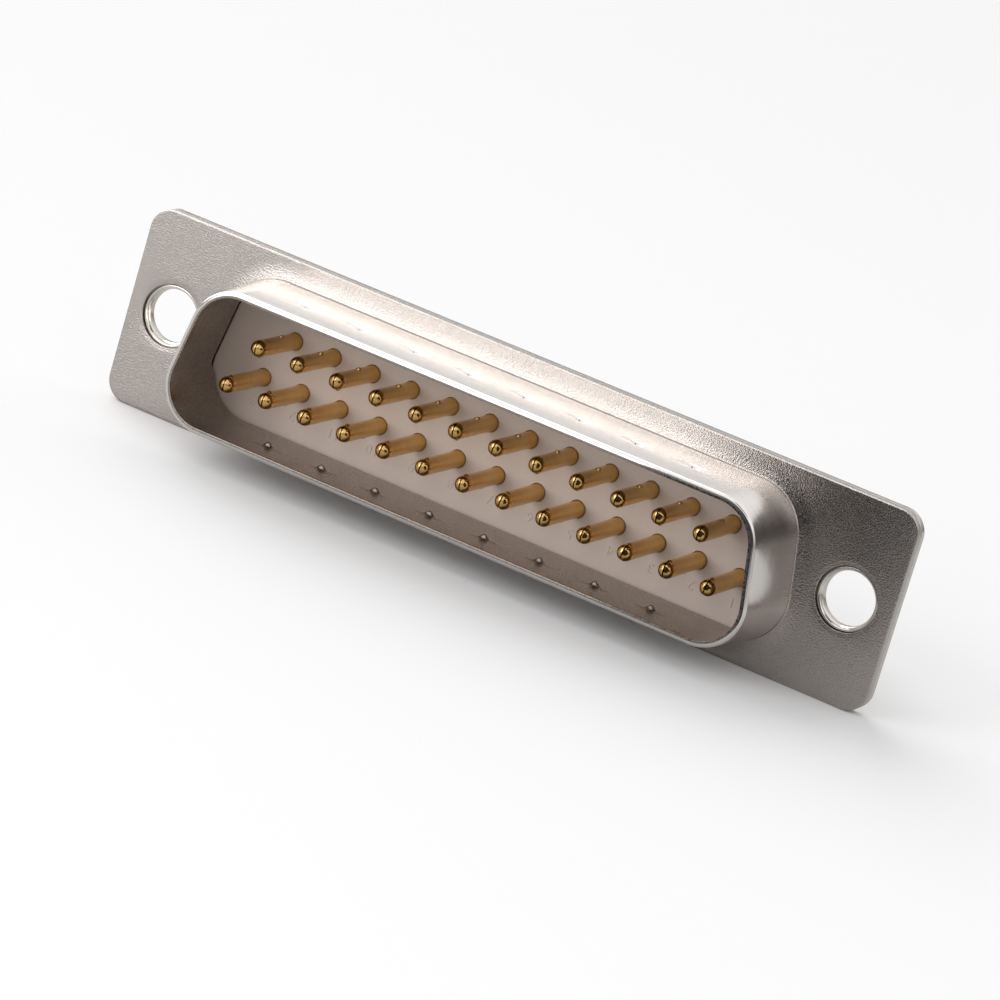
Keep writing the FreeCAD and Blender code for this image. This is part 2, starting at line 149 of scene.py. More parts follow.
# The camera sees a plain backdrop, diffuse surfaces an even room, and the metal a room that
# grows brighter overhead.
world = bpy.data.worlds.new("studio")
bpy.context.scene.world = world
world.use_nodes = True
tree = world.node_tree
tree.nodes.clear()
rays = add_node(tree, "ShaderNodeLightPath", {})
seen = add_node(tree, "ShaderNodeMath", {
    0: rays.outputs["Is Camera Ray"], 1: rays.outputs["Is Transmission Ray"]}, operation="MAXIMUM")
place = add_node(tree, "ShaderNodeTexCoord", {})
towards = add_node(tree, "ShaderNodeSeparateXYZ", {0: place.outputs["Generated"]})
around = ramp(tree, towards.outputs["Y"], AHEAD_AT, BEHIND_AT, ROOM_AHEAD, ROOM_BEHIND)
overhead = ramp(tree, towards.outputs["Z"], ABOVE_FROM, ABOVE_AT, 0.0, ROOM_ABOVE)
glow = add_node(tree, "ShaderNodeMath", {0: around, 1: overhead}, operation="ADD")
backdrop = add_node(tree, "ShaderNodeBackground", {"Color": WHITE, "Strength": BACKDROP_LIGHT})
room = add_node(tree, "ShaderNodeBackground", {"Color": WHITE, "Strength": ROOM_LIGHT})
mirrored = add_node(tree, "ShaderNodeBackground", {"Color": MIRRORED_ROOM, "Strength": glow.outputs[0]})
lit = add_node(tree, "ShaderNodeMixShader", {
    0: rays.outputs["Is Glossy Ray"], 1: room.outputs[0], 2: mirrored.outputs[0]})
shown = add_node(tree, "ShaderNodeMixShader", {
    0: seen.outputs[0], 1: lit.outputs[0], 2: backdrop.outputs[0]})
add_node(tree, "ShaderNodeOutputWorld", {"Surface": shown.outputs[0]})

sun_data = bpy.data.lights.new("overhead_lamp", "SUN")
sun_data.energy = SUN_STRENGTH
sun_data.angle = radians(SUN_WIDTH)
sun = bpy.data.objects.new("overhead_lamp", sun_data)
sun.rotation_euler = [radians(angle) for angle in SUN_TURN]
bpy.context.collection.objects.link(sun)
box_data = bpy.data.lights.new("soft_box", "AREA")
box_data.size = BOX_SIZE
box_data.energy = BOX_POWER
box = bpy.data.objects.new("soft_box", box_data)
box.location = BOX_PLACE
box.rotation_euler = [radians(angle) for angle in BOX_TURN]
bpy.context.collection.objects.link(box)

corners = []
for left, right, front, rear, bottom, top in CARDS:
    corners += [(left, front, bottom), (right, front, bottom), (right, rear, top), (left, rear, top)]
card_mesh = bpy.data.meshes.new("dark_reflection_card")
card_mesh.from_pydata(corners, [], np.arange(len(corners)).reshape(-1, 4).tolist())
dark_reflection_card = bpy.data.objects.new("dark_reflection_card", card_mesh)
bpy.context.collection.objects.link(dark_reflection_card)
dark_reflection_paper, tree, shader = new_material("dark_reflection_paper")
feed(tree, shader, {"Base Color": CARD_COLOUR, "Roughness": CARD_ROUGHNESS})
card_mesh.materials.append(dark_reflection_paper)
# Painted dark reflections: the cards are seen by glossy rays alone, not by the camera, diffuse light or
# shadows.
dark_reflection_card.visible_camera = False
dark_reflection_card.visible_diffuse = False
dark_reflection_card.visible_shadow = False

# The front shell: one steel sheet, nickel plated. Its D-shaped shroud is deep drawn, so a wall
# rises from the flange over a rounded bend, and a punch presses eight dimples into each long
# side to grip the socket that slides in. Its two holes pass round the rear shell's eyelets.
MM = 0.001  # the pieces' sizes are in millimetres
WIDTH, HEIGHT, CORNER, SIDE_ANGLE = 39.04, 8.36, 2.5, 10.0
GAUGE, WALL, RISE = 0.5, 0.4, 5.75
FLANGE_LENGTH, FLANGE_HEIGHT, FLANGE_CORNER = 53.04, 12.55, 1.45
HOLE_SPACING, HOLE_SHIFT, EYELET_HOLE = 47.04, -0.04, 1.98
FRONT_EDGE, HOLE_EDGE, REAR_BEVEL = 0.07, 0.05, 0.02
EDGE_INSET, PLATE_EDGE = 0.16, 1.83
CRUSH_WIDTH, CRUSH_DEPTH = 0.28, 0.02
FOOT, SKIRT, SKIRT_RISE, CREASE = 0.70, 1.80, 0.115, 0.12
OUTER_RIM, INNER_RIM = 0.25, 0.025
END_FLARE, END_FLARE_START = 1.05, 0.35
SIDE_FLARE, SIDE_FLARE_START = 0.45, 0.15
END_FACING, END_BLEND = 0.90, 0.09
DIMPLES, DIMPLE_PITCH, DIMPLE_BACK = 8, 3.8, 3.15
DENT_LENGTH, DENT_WIDTH, DENT_DEPTH = 2.3, 0.9, 0.045
NICK_LENGTH, NICK_WIDTH, NICK_DEPTH = 0.80, 0.50, 0.26
# Reaches are measured outwards from the D line of WIDTH by HEIGHT. The outer wall has the reach
# FOOT at its foot and WALL at its rim, the skirt ends at SKIRT and the flat plate at PLATE_EDGE.
# The mesh's rows up the wall, as first, last and count: few on the plain wall, many through the
# dimples. The inner wall has the same rows down to INNER_FOOT, where its flare takes over.
WALL_ROWS = ((0.4, 2.4, 4), (2.55, 3.75, 25), (4.0, RISE - OUTER_RIM, 4))
INNER_FOOT = 0.6
HOLE_STEPS = 96
SLIVER, WELD, SHARP_ANGLE = 1e-9, 2e-7, 38.0
# The plate's look: the size of its clouds, how often its lines change in a millimetre along and
# across them, their depth, its roughness where it is rubbed, the length over which rubbed metal
# turns to satin, the noise's usual range, and how far and how much painted shade darkens the pits.
CLOUD_SIZE = 4.0
LINES_ALONG, LINES_ACROSS, LINE_DEPTH = 0.3, 6.0, 0.005
RUBBED_GLOSSY, RUBBED_DULL = 0.12, 0.25
SATIN_BLEND = 0.25
NOISE_LOW, NOISE_HIGH = 0.3, 0.7
PIT_LOW, PIT_HIGH, PIT_SHARE, CLOUD_SHARE, PIT_SHADE = 0.38, 0.55, 0.9, 0.3, 0.82


def rounded_outline(half_low, half_high, level, tilt, arc_steps, run_steps):
    """A closed outline of four corner arcs and four straight runs, seen from the front.

    Each point is an arc centre, which glides along on the runs, plus a radius times an outward
    direction. The function gives the centres and the directions, so the same outline can be
    drawn at any radius. tilt is the lean of the two end walls in radians."""
    corners = np.array([(half_low, -level), (half_high, level), (-half_high, level),
                        (-half_low, -level), (half_low, -level)])
    turns = np.array([(-np.pi / 2, tilt), (tilt, np.pi / 2), (np.pi / 2, np.pi - tilt),
                      (np.pi - tilt, 1.5 * np.pi)])
    centres, directions = [], []
    for corner, follower, turn, steps in zip(corners, corners[1:], turns, run_steps):
        angles = np.linspace(turn[0], turn[1], arc_steps + 1)
        share = np.linspace(0, 1, steps + 1)[1:-1, None]
        centres += [np.tile(corner, (arc_steps + 1, 1)), corner * (1 - share) + follower * share]
        angles = np.append(angles, np.full(len(share), turn[1]))
        directions.append(np.column_stack([np.cos(angles), np.sin(angles)]))
    return np.vstack(centres), np.vstack(directions)


def d_outline(arc_steps, end_steps, long_steps):
    """The shroud's D: the long lower side is the wide one, and both ends lean by SIDE_ANGLE."""
    level = HEIGHT / 2 - CORNER
    low = WIDTH / 2 - CORNER
    tilt = radians(SIDE_ANGLE)
    high = low - 2 * level * np.tan(tilt)
    steps = [end_steps, long_steps, end_steps, long_steps]
    return rounded_outline(low, high, level, tilt, arc_steps, steps)


def flange_outline(arc_steps, end_steps, long_steps):
    """The rounded rectangle of both flanges."""
    across, level = FLANGE_LENGTH / 2 - FLANGE_CORNER, FLANGE_HEIGHT / 2 - FLANGE_CORNER
    steps = [end_steps, long_steps, end_steps, long_steps]
    return rounded_outline(across, across, level, 0.0, arc_steps, steps)


def circle_outline(across, steps):
    """A circle round a mounting hole's centre, in the same form as rounded_outline."""
    angles = np.arange(steps) * 2 * np.pi / steps
    return np.tile((across, 0.0), (steps, 1)), np.column_stack([np.cos(angles), np.sin(angles)])


def arc(middle, radius, start, stop, steps):
    """Points of a profile on a circular arc, angles in degrees, as (reach, depth) pairs."""
    angles = np.radians(np.linspace(start, stop, steps + 1))
    return np.column_stack([middle[0] + radius * np.cos(angles),
                            middle[1] + radius * np.sin(angles)])


def swept(outline, radius, profile):
    """A profile carried round an outline: each row is the outline at radius + reach, set at the
    profile's depth along Y. It gives the grid of points and its quads, closed round."""
    centres, directions = outline
    profile = np.asarray(profile, float)
    reach = radius + profile[:, 0, None, None]
    flat = centres + reach * directions
    points = np.stack([flat[..., 0], np.broadcast_to(profile[:, 1, None], flat.shape[:2]),
                       flat[..., 1]], axis=-1)
    rows, columns = points.shape[:2]
    place = np.arange(rows * columns).reshape(rows, columns)
    after = np.roll(place, -1, axis=1)
    quads = np.stack([place[:-1], after[:-1], after[1:], place[1:]], axis=-1).reshape(-1, 4)
    return points.reshape(-1, 3), quads


def plate(loops, depth, facing):
    """The flat face between an outer loop and the loops of its holes, at one depth, as
    triangles that all face along Y by the sign of facing. Those without area are left out."""
    flat = np.vstack(loops)
    points = np.column_stack([flat[:, 0], np.full(len(flat), depth), flat[:, 1]])
    shape = tessellate_polygon([[(x, z, 0.0) for x, z in loop] for loop in loops])
    faces = np.array(shape)
    a, b, c = (flat[faces[:, k]] for k in range(3))
    area = (b[:, 0] - a[:, 0]) * (c[:, 1] - a[:, 1]) - (b[:, 1] - a[:, 1]) * (c[:, 0] - a[:, 0])
    kept = np.abs(area) > SLIVER
    faces = faces[kept]
    turned = area[kept] * facing > 0
    faces[turned] = faces[turned][:, ::-1]
    return points, faces


def loop_at(outline, radius):
    """An outline as a plain loop of (x, z) points at one radius."""
    return outline[0] + radius * outline[1]


def make_piece(name, patches, finishes, node):
    """Join patches of points and faces into one mesh in metres and weld their common borders. A
    patch may name which of the finishes it has. The piece stands for a CAD node, if one is
    named."""
    points, faces, slots, base = [], [], [], 0
    for patch_points, patch_faces, *finish_place in patches:
        points.append(patch_points)
        faces += (patch_faces + base).tolist()
        slots += (finish_place or [0]) * len(patch_faces)
        base += len(patch_points)
    mesh = bpy.data.meshes.new(name)
    mesh.from_pydata((np.vstack(points) * MM).tolist(), [], faces)
    mesh.polygons.foreach_set("use_smooth", np.ones(len(mesh.polygons), bool))
    mesh.polygons.foreach_set("material_index", slots)
    merged = bmesh.new()
    merged.from_mesh(mesh)
    bmesh.ops.remove_doubles(merged, verts=merged.verts, dist=WELD)
    merged.to_mesh(mesh)
    merged.free()
    mesh.set_sharp_from_angle(angle=radians(SHARP_ANGLE))
    piece = bpy.data.objects.new(name, mesh)
    bpy.context.collection.objects.link(piece)
    for finish in finishes:
        mesh.materials.append(finish)
    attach(piece, "root")
    if node:
        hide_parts(node)


def dimple_depth(across, depth):
    """How far the wall is pressed in at a place on a long side: a shallow oval dent, one minus
    the squares of both distances, with a round pit in its middle, the square of one minus the
    squares of both distances."""
    middle = (np.arange(DIMPLES) - (DIMPLES - 1) / 2) * DIMPLE_PITCH
    along = np.abs(across[:, None] - middle).min(axis=1)
    aside = np.abs(depth + DIMPLE_BACK)
    dent = 1 - (2 * along / DENT_LENGTH) ** 2 - (2 * aside / DENT_WIDTH) ** 2
    nick = 1 - (2 * along / NICK_LENGTH) ** 2 - (2 * aside / NICK_WIDTH) ** 2
    return DENT_DEPTH * np.clip(dent, 0, 1) + NICK_DEPTH * np.clip(nick, 0, 1) ** 2


def pressed(points, outline):
    """Press the dimples into the points of the shroud's two long sides, whose outward direction
    is straight up or down."""
    rows = len(points) // len(outline[1])
    up = np.tile(outline[1][:, 1], rows)
    on_side = np.isclose(np.abs(up), 1)
    points = points.copy()
    push = dimple_depth(points[:, 0], points[:, 1]) * on_side
    points[:, 2] -= np.sign(up) * push
    return points


def wall_section(flare_start, flare):
    """The section of the shroud as (reach, depth) pairs, in two parts. The outer part is a skirt
    that rises by the square of the distance from its edge, the crease, the leaning outer wall
    and the rounded edge of the rim. The inner part is the corner inside the rim's flat cut face,
    the inner wall, which leans out by flare_start, and a flare behind it, an arc of radius
    flare."""
    inward = np.linspace(0, 1, 7)
    skirt = np.column_stack([SKIRT + (FOOT + CREASE - SKIRT) * inward, -SKIRT_RISE * inward ** 2])
    outer = -np.concatenate([np.linspace(*rows) for rows in WALL_ROWS])
    fall = (outer - outer[0]) / (outer[-1] - outer[0])
    inner = outer[outer < -INNER_FOOT][::-1]
    rise = (inner - inner[0]) / (inner[-1] - inner[0])
    outer_part = np.vstack([
        [(PLATE_EDGE, 0.0)], skirt,
        arc((FOOT + CREASE, -SKIRT_RISE - CREASE), CREASE, 102, 178, 5),
        np.column_stack([FOOT - (FOOT - WALL) * fall, outer]),
        arc((WALL - OUTER_RIM, -RISE + OUTER_RIM), OUTER_RIM, 0, -90, 7)[1:]])
    inner_part = np.vstack([
        arc((INNER_RIM, -RISE + INNER_RIM), INNER_RIM, 270, 180, 3),
        np.column_stack([flare_start * rise, inner]),
        arc((flare_start + flare, GAUGE - flare), flare, 177, 90, 10),
        [(PLATE_EDGE, GAUGE)]])
    return outer_part, inner_part


def noise(tree, vector, scale, detail=2.0, roughness=0.5):
    """Soft cloudy noise round one half, with about scale blots for each unit of the vector."""
    inputs = {"Vector": vector, "Scale": scale, "Detail": detail, "Roughness": roughness}
    return add_node(tree, "ShaderNodeTexNoise", inputs).outputs["Fac"]


def nickel(name, colour, painted_sheen, roughness, grain, speckle, pit_depth, satin_from):
    """Nickel plate over drawn steel: a slightly warm satin mirror with fine pits, glossier in them
    and darkened in them by painted shade, under faint clouds of random tone. grain is the size of
    the pits in millimetres, speckle how much the roughness changes between them as a share of
    itself, pit_depth how deep they are. Ahead of the depth satin_from the tools have rubbed the
    pits away and left faint lines round the wall, and a brighter colour is painted there as sheen."""
    finish, tree, shader = new_material(name)
    place = add_node(tree, "ShaderNodeTexCoord", {}).outputs["Object"]
    depth = add_node(tree, "ShaderNodeSeparateXYZ", {0: place}).outputs["Y"]
    satin = ramp(tree, depth, (satin_from - SATIN_BLEND) * MM, satin_from * MM)
    pits = noise(tree, place, 1 / (grain * MM), detail=3.0, roughness=0.6)
    clouds = noise(tree, place, 1 / (CLOUD_SIZE * MM))
    stretch = add_node(tree, "ShaderNodeMapping", {
        "Vector": place, "Scale": (LINES_ALONG / MM, LINES_ACROSS / MM, LINES_ALONG / MM)})
    lines = noise(tree, stretch.outputs["Vector"], 1.0)
    rubbed = ramp(tree, lines, 0.0, 1.0, RUBBED_GLOSSY, RUBBED_DULL)
    speckled = ramp(tree, pits, NOISE_LOW, NOISE_HIGH,
                    roughness * (1 - speckle), roughness * (1 + speckle))
    # Painted shade in the pits: the colour falls towards PIT_SHADE of itself there, mixed with the
    # clouds' random tone.
    clear_of_pits = ramp(tree, pits, PIT_LOW, PIT_HIGH, 0.0, PIT_SHARE)
    clear = add_node(tree, "ShaderNodeMath", {0: clouds, 1: CLOUD_SHARE, 2: clear_of_pits},
                     operation="MULTIPLY_ADD")
    shaded = (*[channel * PIT_SHADE for channel in colour], 1.0)
    plated = blend(tree, clear.outputs[0], shaded, (*colour, 1.0))
    lined = add_node(tree, "ShaderNodeBump", {
        "Strength": 1.0, "Distance": LINE_DEPTH * MM, "Height": lines})
    pitted = add_node(tree, "ShaderNodeBump", {
        "Strength": satin, "Distance": pit_depth * MM, "Height": pits,
        "Normal": lined.outputs["Normal"]})
    feed(tree, shader, {
        "Metallic": 1.0,
        "Roughness": blend(tree, satin, rubbed, speckled, data_type="FLOAT"),
        # Base colour: painted sheen ahead of satin_from, and behind it the plate with painted shade in
        # its pits.
        "Base Color": blend(tree, satin, (*painted_sheen, 1.0), plated),
        "Normal": pitted.outputs["Normal"]})
    return finish


# The second colour of each nickel is a painted sheen, laid ahead of its satin_from in place of the
# pitted plate.
front_nickel = nickel("nickel_plate", colour=(0.585, 0.535, 0.50), painted_sheen=(0.86, 0.82, 0.785),
                      roughness=0.17, grain=0.10, speckle=0.6, pit_depth=0.028, satin_from=-0.15)
# The inner wall's colour is painted shade, darker than the plate for the shade inside the shroud; its
# higher roughness is its own duller finish.
dull_shaded_nickel = nickel("inner_nickel_shaded", colour=(0.38, 0.335, 0.30), painted_sheen=(0.38, 0.335, 0.30),
                     roughness=0.30, grain=0.10, speckle=0.4, pit_depth=0.006, satin_from=-RISE - 1)
flange_shape = flange_outline(arc_steps=12, end_steps=4, long_steps=20)

# The shroud has one section along its sides and another, with a wider flare behind, at its ends.
# It goes from one to the other in the corners. The inner part of the wall is the duller one, and
# darker by painted shade.
d_shape = d_outline(arc_steps=20, end_steps=10, long_steps=400)
columns = len(d_shape[1])
side_section = wall_section(SIDE_FLARE_START, SIDE_FLARE)
end_section = wall_section(END_FLARE_START, END_FLARE)
side_points, wall_faces = swept(d_shape, CORNER, np.vstack(side_section))
end_points = swept(d_shape, CORNER, np.vstack(end_section))[0]
tilt = radians(SIDE_ANGLE)
end_facing = np.abs(d_shape[1][:, 0]) * np.cos(tilt) + d_shape[1][:, 1] * np.sin(tilt)
end_share = np.clip((end_facing - END_FACING) / END_BLEND, 0, 1)
end_share = np.tile(end_share, len(side_points) // columns)[:, None]
wall_points = pressed(side_points * (1 - end_share) + end_points * end_share, d_shape)
outer_faces = (len(side_section[0]) - 1) * columns

edge_profile = np.vstack([
    [(-EDGE_INSET, GAUGE), (-REAR_BEVEL, GAUGE), (0.0, GAUGE - REAR_BEVEL)],
    arc((-FRONT_EDGE, FRONT_EDGE), FRONT_EDGE, 0, -90, 5),
    [(-EDGE_INSET, 0.0)]])
hole_profile = np.vstack([
    [(CRUSH_WIDTH, 0.0), (0.8 * CRUSH_WIDTH, 0.2 * CRUSH_DEPTH), (0.5 * CRUSH_WIDTH, CRUSH_DEPTH)],
    arc((HOLE_EDGE, CRUSH_DEPTH + HOLE_EDGE), HOLE_EDGE, 270, 180, 5),
    [(0.0, GAUGE - REAR_BEVEL), (REAR_BEVEL, GAUGE), (CRUSH_WIDTH, GAUGE)]])
front_patches = [(wall_points, wall_faces[:outer_faces]),
                 (wall_points, wall_faces[outer_faces:], 1),
                 swept(flange_shape, FLANGE_CORNER, edge_profile)]
front_holes = [circle_outline(side * HOLE_SPACING / 2 + HOLE_SHIFT, HOLE_STEPS) for side in (-1, 1)]
for hole_shape in front_holes:
    front_patches.append(swept(hole_shape, EYELET_HOLE, hole_profile))
for depth, facing in ((0.0, -1), (GAUGE, 1)):
    loops = [loop_at(flange_shape, FLANGE_CORNER - EDGE_INSET),
             loop_at(d_shape, CORNER + PLATE_EDGE)]
    loops += [loop_at(hole_shape, EYELET_HOLE + CRUSH_WIDTH) for hole_shape in front_holes]
    front_patches.append(plate(loops, depth, facing))
make_piece("front_sheet", front_patches, [front_nickel, dull_shaded_nickel], "front_shell")

# The rear shell: a second nickel-plated sheet behind the first. Its eyelets are drawn forwards
# through the front shell's holes and rolled, which holds the two shells together, and its can
# is drawn backwards round the insulator and ends in an inward lip.
CAN_INNER, CAN_DEPTH, CAN_BEND, CAN_ROUND, CAN_LIP = 0.65, 3.9, 0.4, 0.55, 0.8
EYELET_BORE, EYELET_WALL, EYELET_SINK, EYELET_ROLL = 1.65, 0.28, 0.12, 0.22
EYELET_NOSE = 0.08
# Behind its rounded nose the eyelet narrows to its bore, as (reach, depth behind the nose) pairs.
EYELET_MOUTH = ((0.06, 0.12), (0.015, 0.24), (0.0, 0.36))
PLATE_REACH = 0.3
EDGE_BEVEL, SEAM_BEVEL = 0.03, 0.05

back = 2 * GAUGE
can_end = back + CAN_DEPTH
can_outer = CAN_INNER + WALL
can_foot = can_outer + CAN_BEND + PLATE_REACH
can_profile = np.vstack([
    [(can_foot, GAUGE)],
    arc((CAN_INNER + CAN_BEND + WALL, GAUGE + CAN_BEND + WALL), CAN_BEND + WALL, 270, 180, 8),
    [(CAN_INNER, can_end - WALL), (CAN_INNER - CAN_LIP, can_end - WALL),
     (CAN_INNER - CAN_LIP, can_end)],
    arc((can_outer - CAN_ROUND, can_end - CAN_ROUND), CAN_ROUND, 90, 0, 8),
    arc((can_outer + CAN_BEND, back + CAN_BEND), CAN_BEND, 180, 270, 8),
    [(can_foot, back)]])
eyelet_foot = EYELET_WALL + PLATE_REACH
eyelet_profile = np.vstack([
    [(eyelet_foot, GAUGE), (EYELET_WALL, GAUGE)],
    arc((EYELET_WALL - EYELET_NOSE, EYELET_SINK + EYELET_NOSE), EYELET_NOSE, 0, -120, 7),
    [(reach, EYELET_SINK + behind) for reach, behind in EYELET_MOUTH],
    arc((EYELET_ROLL, back - EYELET_ROLL), EYELET_ROLL, 180, 90, 6),
    [(eyelet_foot, back)]])
rear_edge = [(-EDGE_INSET, back), (-EDGE_BEVEL, back), (0.0, back - EDGE_BEVEL),
             (0.0, GAUGE + SEAM_BEVEL), (-SEAM_BEVEL, GAUGE), (-EDGE_INSET, GAUGE)]
can_shape = d_outline(arc_steps=20, end_steps=8, long_steps=60)
rear_patches = [swept(can_shape, CORNER, can_profile), swept(flange_shape, FLANGE_CORNER, rear_edge)]
eyelets = [circle_outline(side * HOLE_SPACING / 2, HOLE_STEPS) for side in (-1, 1)]
for hole_shape in eyelets:
    rear_patches.append(swept(hole_shape, EYELET_BORE, eyelet_profile))
for depth, facing in ((GAUGE, -1), (back, 1)):
    loops = [loop_at(flange_shape, FLANGE_CORNER - EDGE_INSET), loop_at(can_shape, CORNER + can_foot)]
    loops += [loop_at(hole_shape, EYELET_BORE + eyelet_foot) for hole_shape in eyelets]
    rear_patches.append(plate(loops, depth, facing))
# Its second colour is a painted sheen on the eyelets' fronts, ahead of satin_from.
can_nickel = nickel("bright_nickel", colour=(0.72, 0.68, 0.63), painted_sheen=(0.80, 0.76, 0.71),
                    roughness=0.20, grain=0.2, speckle=0.3, pit_depth=0.006, satin_from=GAUGE)
make_piece("rear_sheet", rear_patches, [can_nickel], "rear_shell")

# The insulator: a block of off-white polyester, injection moulded with a hole for each contact
# and small raised numbers beside the holes. It is trapped between the two shells.
POLYESTER_COLOUR, POLYESTER_ROUGHNESS = (0.83, 0.71, 0.64), 0.45
MOTTLE_SIZE, MOTTLE_SHADE = 1.5, 0.93
GRAIN_SIZE, GRAIN_DEPTH = 0.08, 0.004

polyester, tree, shader = new_material("white_polyester")
place = add_node(tree, "ShaderNodeTexCoord", {}).outputs["Object"]
mottle = noise(tree, place, 1 / (MOTTLE_SIZE * MM), detail=4.0)
shaded = (*[channel * MOTTLE_SHADE for channel in POLYESTER_COLOUR], 1.0)
grain = noise(tree, place, 1 / (GRAIN_SIZE * MM))
relief = add_node(tree, "ShaderNodeBump", {"Distance": GRAIN_DEPTH * MM, "Height": grain})
feed(tree, shader, {"Roughness": POLYESTER_ROUGHNESS,
                    "Base Color": blend(tree, mottle, shaded, (*POLYESTER_COLOUR, 1.0)),
                    "Normal": relief.outputs["Normal"]})
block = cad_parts["insulator"]
block.data.materials.clear()
block.data.materials.append(polyester)

# The numbers moulded on the block's face beside the contacts, 1 to 13 along the wide row and 14
# to 25 along the narrow one, in thin raised strokes that read upright with the wide row on top.
PITCH, WIDE_ROW, NARROW_ROW = 2.77, 13, 12
FIGURE_SIZE, FIGURE_RAISE, FIGURE_SINK, FIGURE_UP = 0.9, 0.045, 0.05, 2.98
FIGURE_ROWS = ((1, WIDE_ROW, -FIGURE_UP), (1 + WIDE_ROW, NARROW_ROW, FIGURE_UP))
FIGURE_STEPS, FIGURE_HALF_DEPTH = 3, 0.5

figure_data = bpy.data.curves.new("figures", "FONT")
figure_data.align_x = "CENTER"
figure_data.align_y = "CENTER"
figure_data.resolution_u = FIGURE_STEPS
figure_data.extrude = FIGURE_HALF_DEPTH
figure_writer = bpy.data.objects.new("figure_writer", figure_data)
bpy.context.collection.objects.link(figure_writer)
figure_patches = []
for first, count, up in FIGURE_ROWS:
    for index in range(count):
        figure_data.body = str(first + index)
        bpy.context.view_layer.update()
        written = bpy.data.meshes.new_from_object(
            figure_writer.evaluated_get(bpy.context.evaluated_depsgraph_get()))
        points = np.empty(len(written.vertices) * 3)
        written.vertices.foreach_get("co", points)
        points = points.reshape(-1, 3)
        across = ((count - 1) / 2 - index) * PITCH
        raised = np.column_stack([
            across - points[:, 0] * FIGURE_SIZE,
            GAUGE + np.where(points[:, 2] > 0, -FIGURE_RAISE, FIGURE_SINK),
            up - points[:, 1] * FIGURE_SIZE])
        written.calc_loop_triangles()
        corners = np.empty(len(written.loop_triangles) * 3, int)
        written.loop_triangles.foreach_get("vertices", corners)
        figure_patches.append((raised, corners.reshape(-1, 3)))
        bpy.data.meshes.remove(written)
bpy.data.objects.remove(figure_writer)
bpy.data.curves.remove(figure_data)
make_piece("pin_numbers", figure_patches, [polyester], None)

# The contacts: stamped from copper alloy strip, rolled into a pin with a domed tip that stays
# split, and gold plated. The rolled edges meet in a seam along the pin, which ends in a small
# notch. Behind the block a barrel opens into a half-round solder cup.
ROW_SPACING = 2.84
PIN_RADIUS, PIN_REACH, BLOCK_END = 0.51, 4.49, 6.1
SLIT_WIDTH, SLIT_DEPTH, SLIT_SLOPE = 0.08, 0.60, 0.002
NOTCH_BACK, NOTCH_RADIUS, NOTCH_DEPTH = 1.62, 0.13, 0.20
BEAD_BACK, BEAD_RADIUS, BEAD_HEIGHT = 1.38, 0.14, 0.09
BURR_BACK, BURR_RADIUS, BURR_HEIGHT = 3.74, 0.15, 0.10
BARREL_RADIUS, CUP_BORE, CUP_DEPTH, CUP_EDGE, CUP_REACH = 0.8, 0.55, 2.9, 0.1, 6.4
SEAT_TURN, TURN_STEP, SEAT_GROWTH = 6.0, 2.4, 1.09
SEAT_AHEAD, SEAT_BEHIND = 0.02, 0.04
# The mesh's rows along the pin: first, last and count of those through the burr and of those
# through the notch and bead, and the few between and behind them. The slices on each side of the
# slit start at FIRST_SLICE radians from the pin's middle.
BURR_ROWS, MARK_ROWS = (-3.95, -3.5, 12), (-1.84, -1.2, 17)
BETWEEN_ROWS, BEHIND_ROW = (-3.2, -2.6, -2.1), -0.8
SLICES, FIRST_SLICE = 14, 0.16
DOME_STEPS, BARREL_STEPS, CUP_STEPS = 20, 48, 24
GOLD_DARK, GOLD_LIGHT = (0.62, 0.37, 0.12, 1.0), (0.80, 0.52, 0.20, 1.0)
FILM_SIZE = 0.6
GOLD_GLOSSY, GOLD_DULL, DOME_ROUGHNESS = 0.24, 0.40, 0.12
DOME_END, DOME_BLEND = 4.0, 0.2

cup_end = can_end + CUP_REACH


def quads_of(rows, columns):
    """Quads of an open grid of rows by columns points."""
    place = np.arange(rows * columns).reshape(rows, columns)
    corners = [place[:-1, :-1], place[:-1, 1:], place[1:, 1:], place[1:, :-1]]
    return np.stack(corners, axis=-1).reshape(-1, 4)


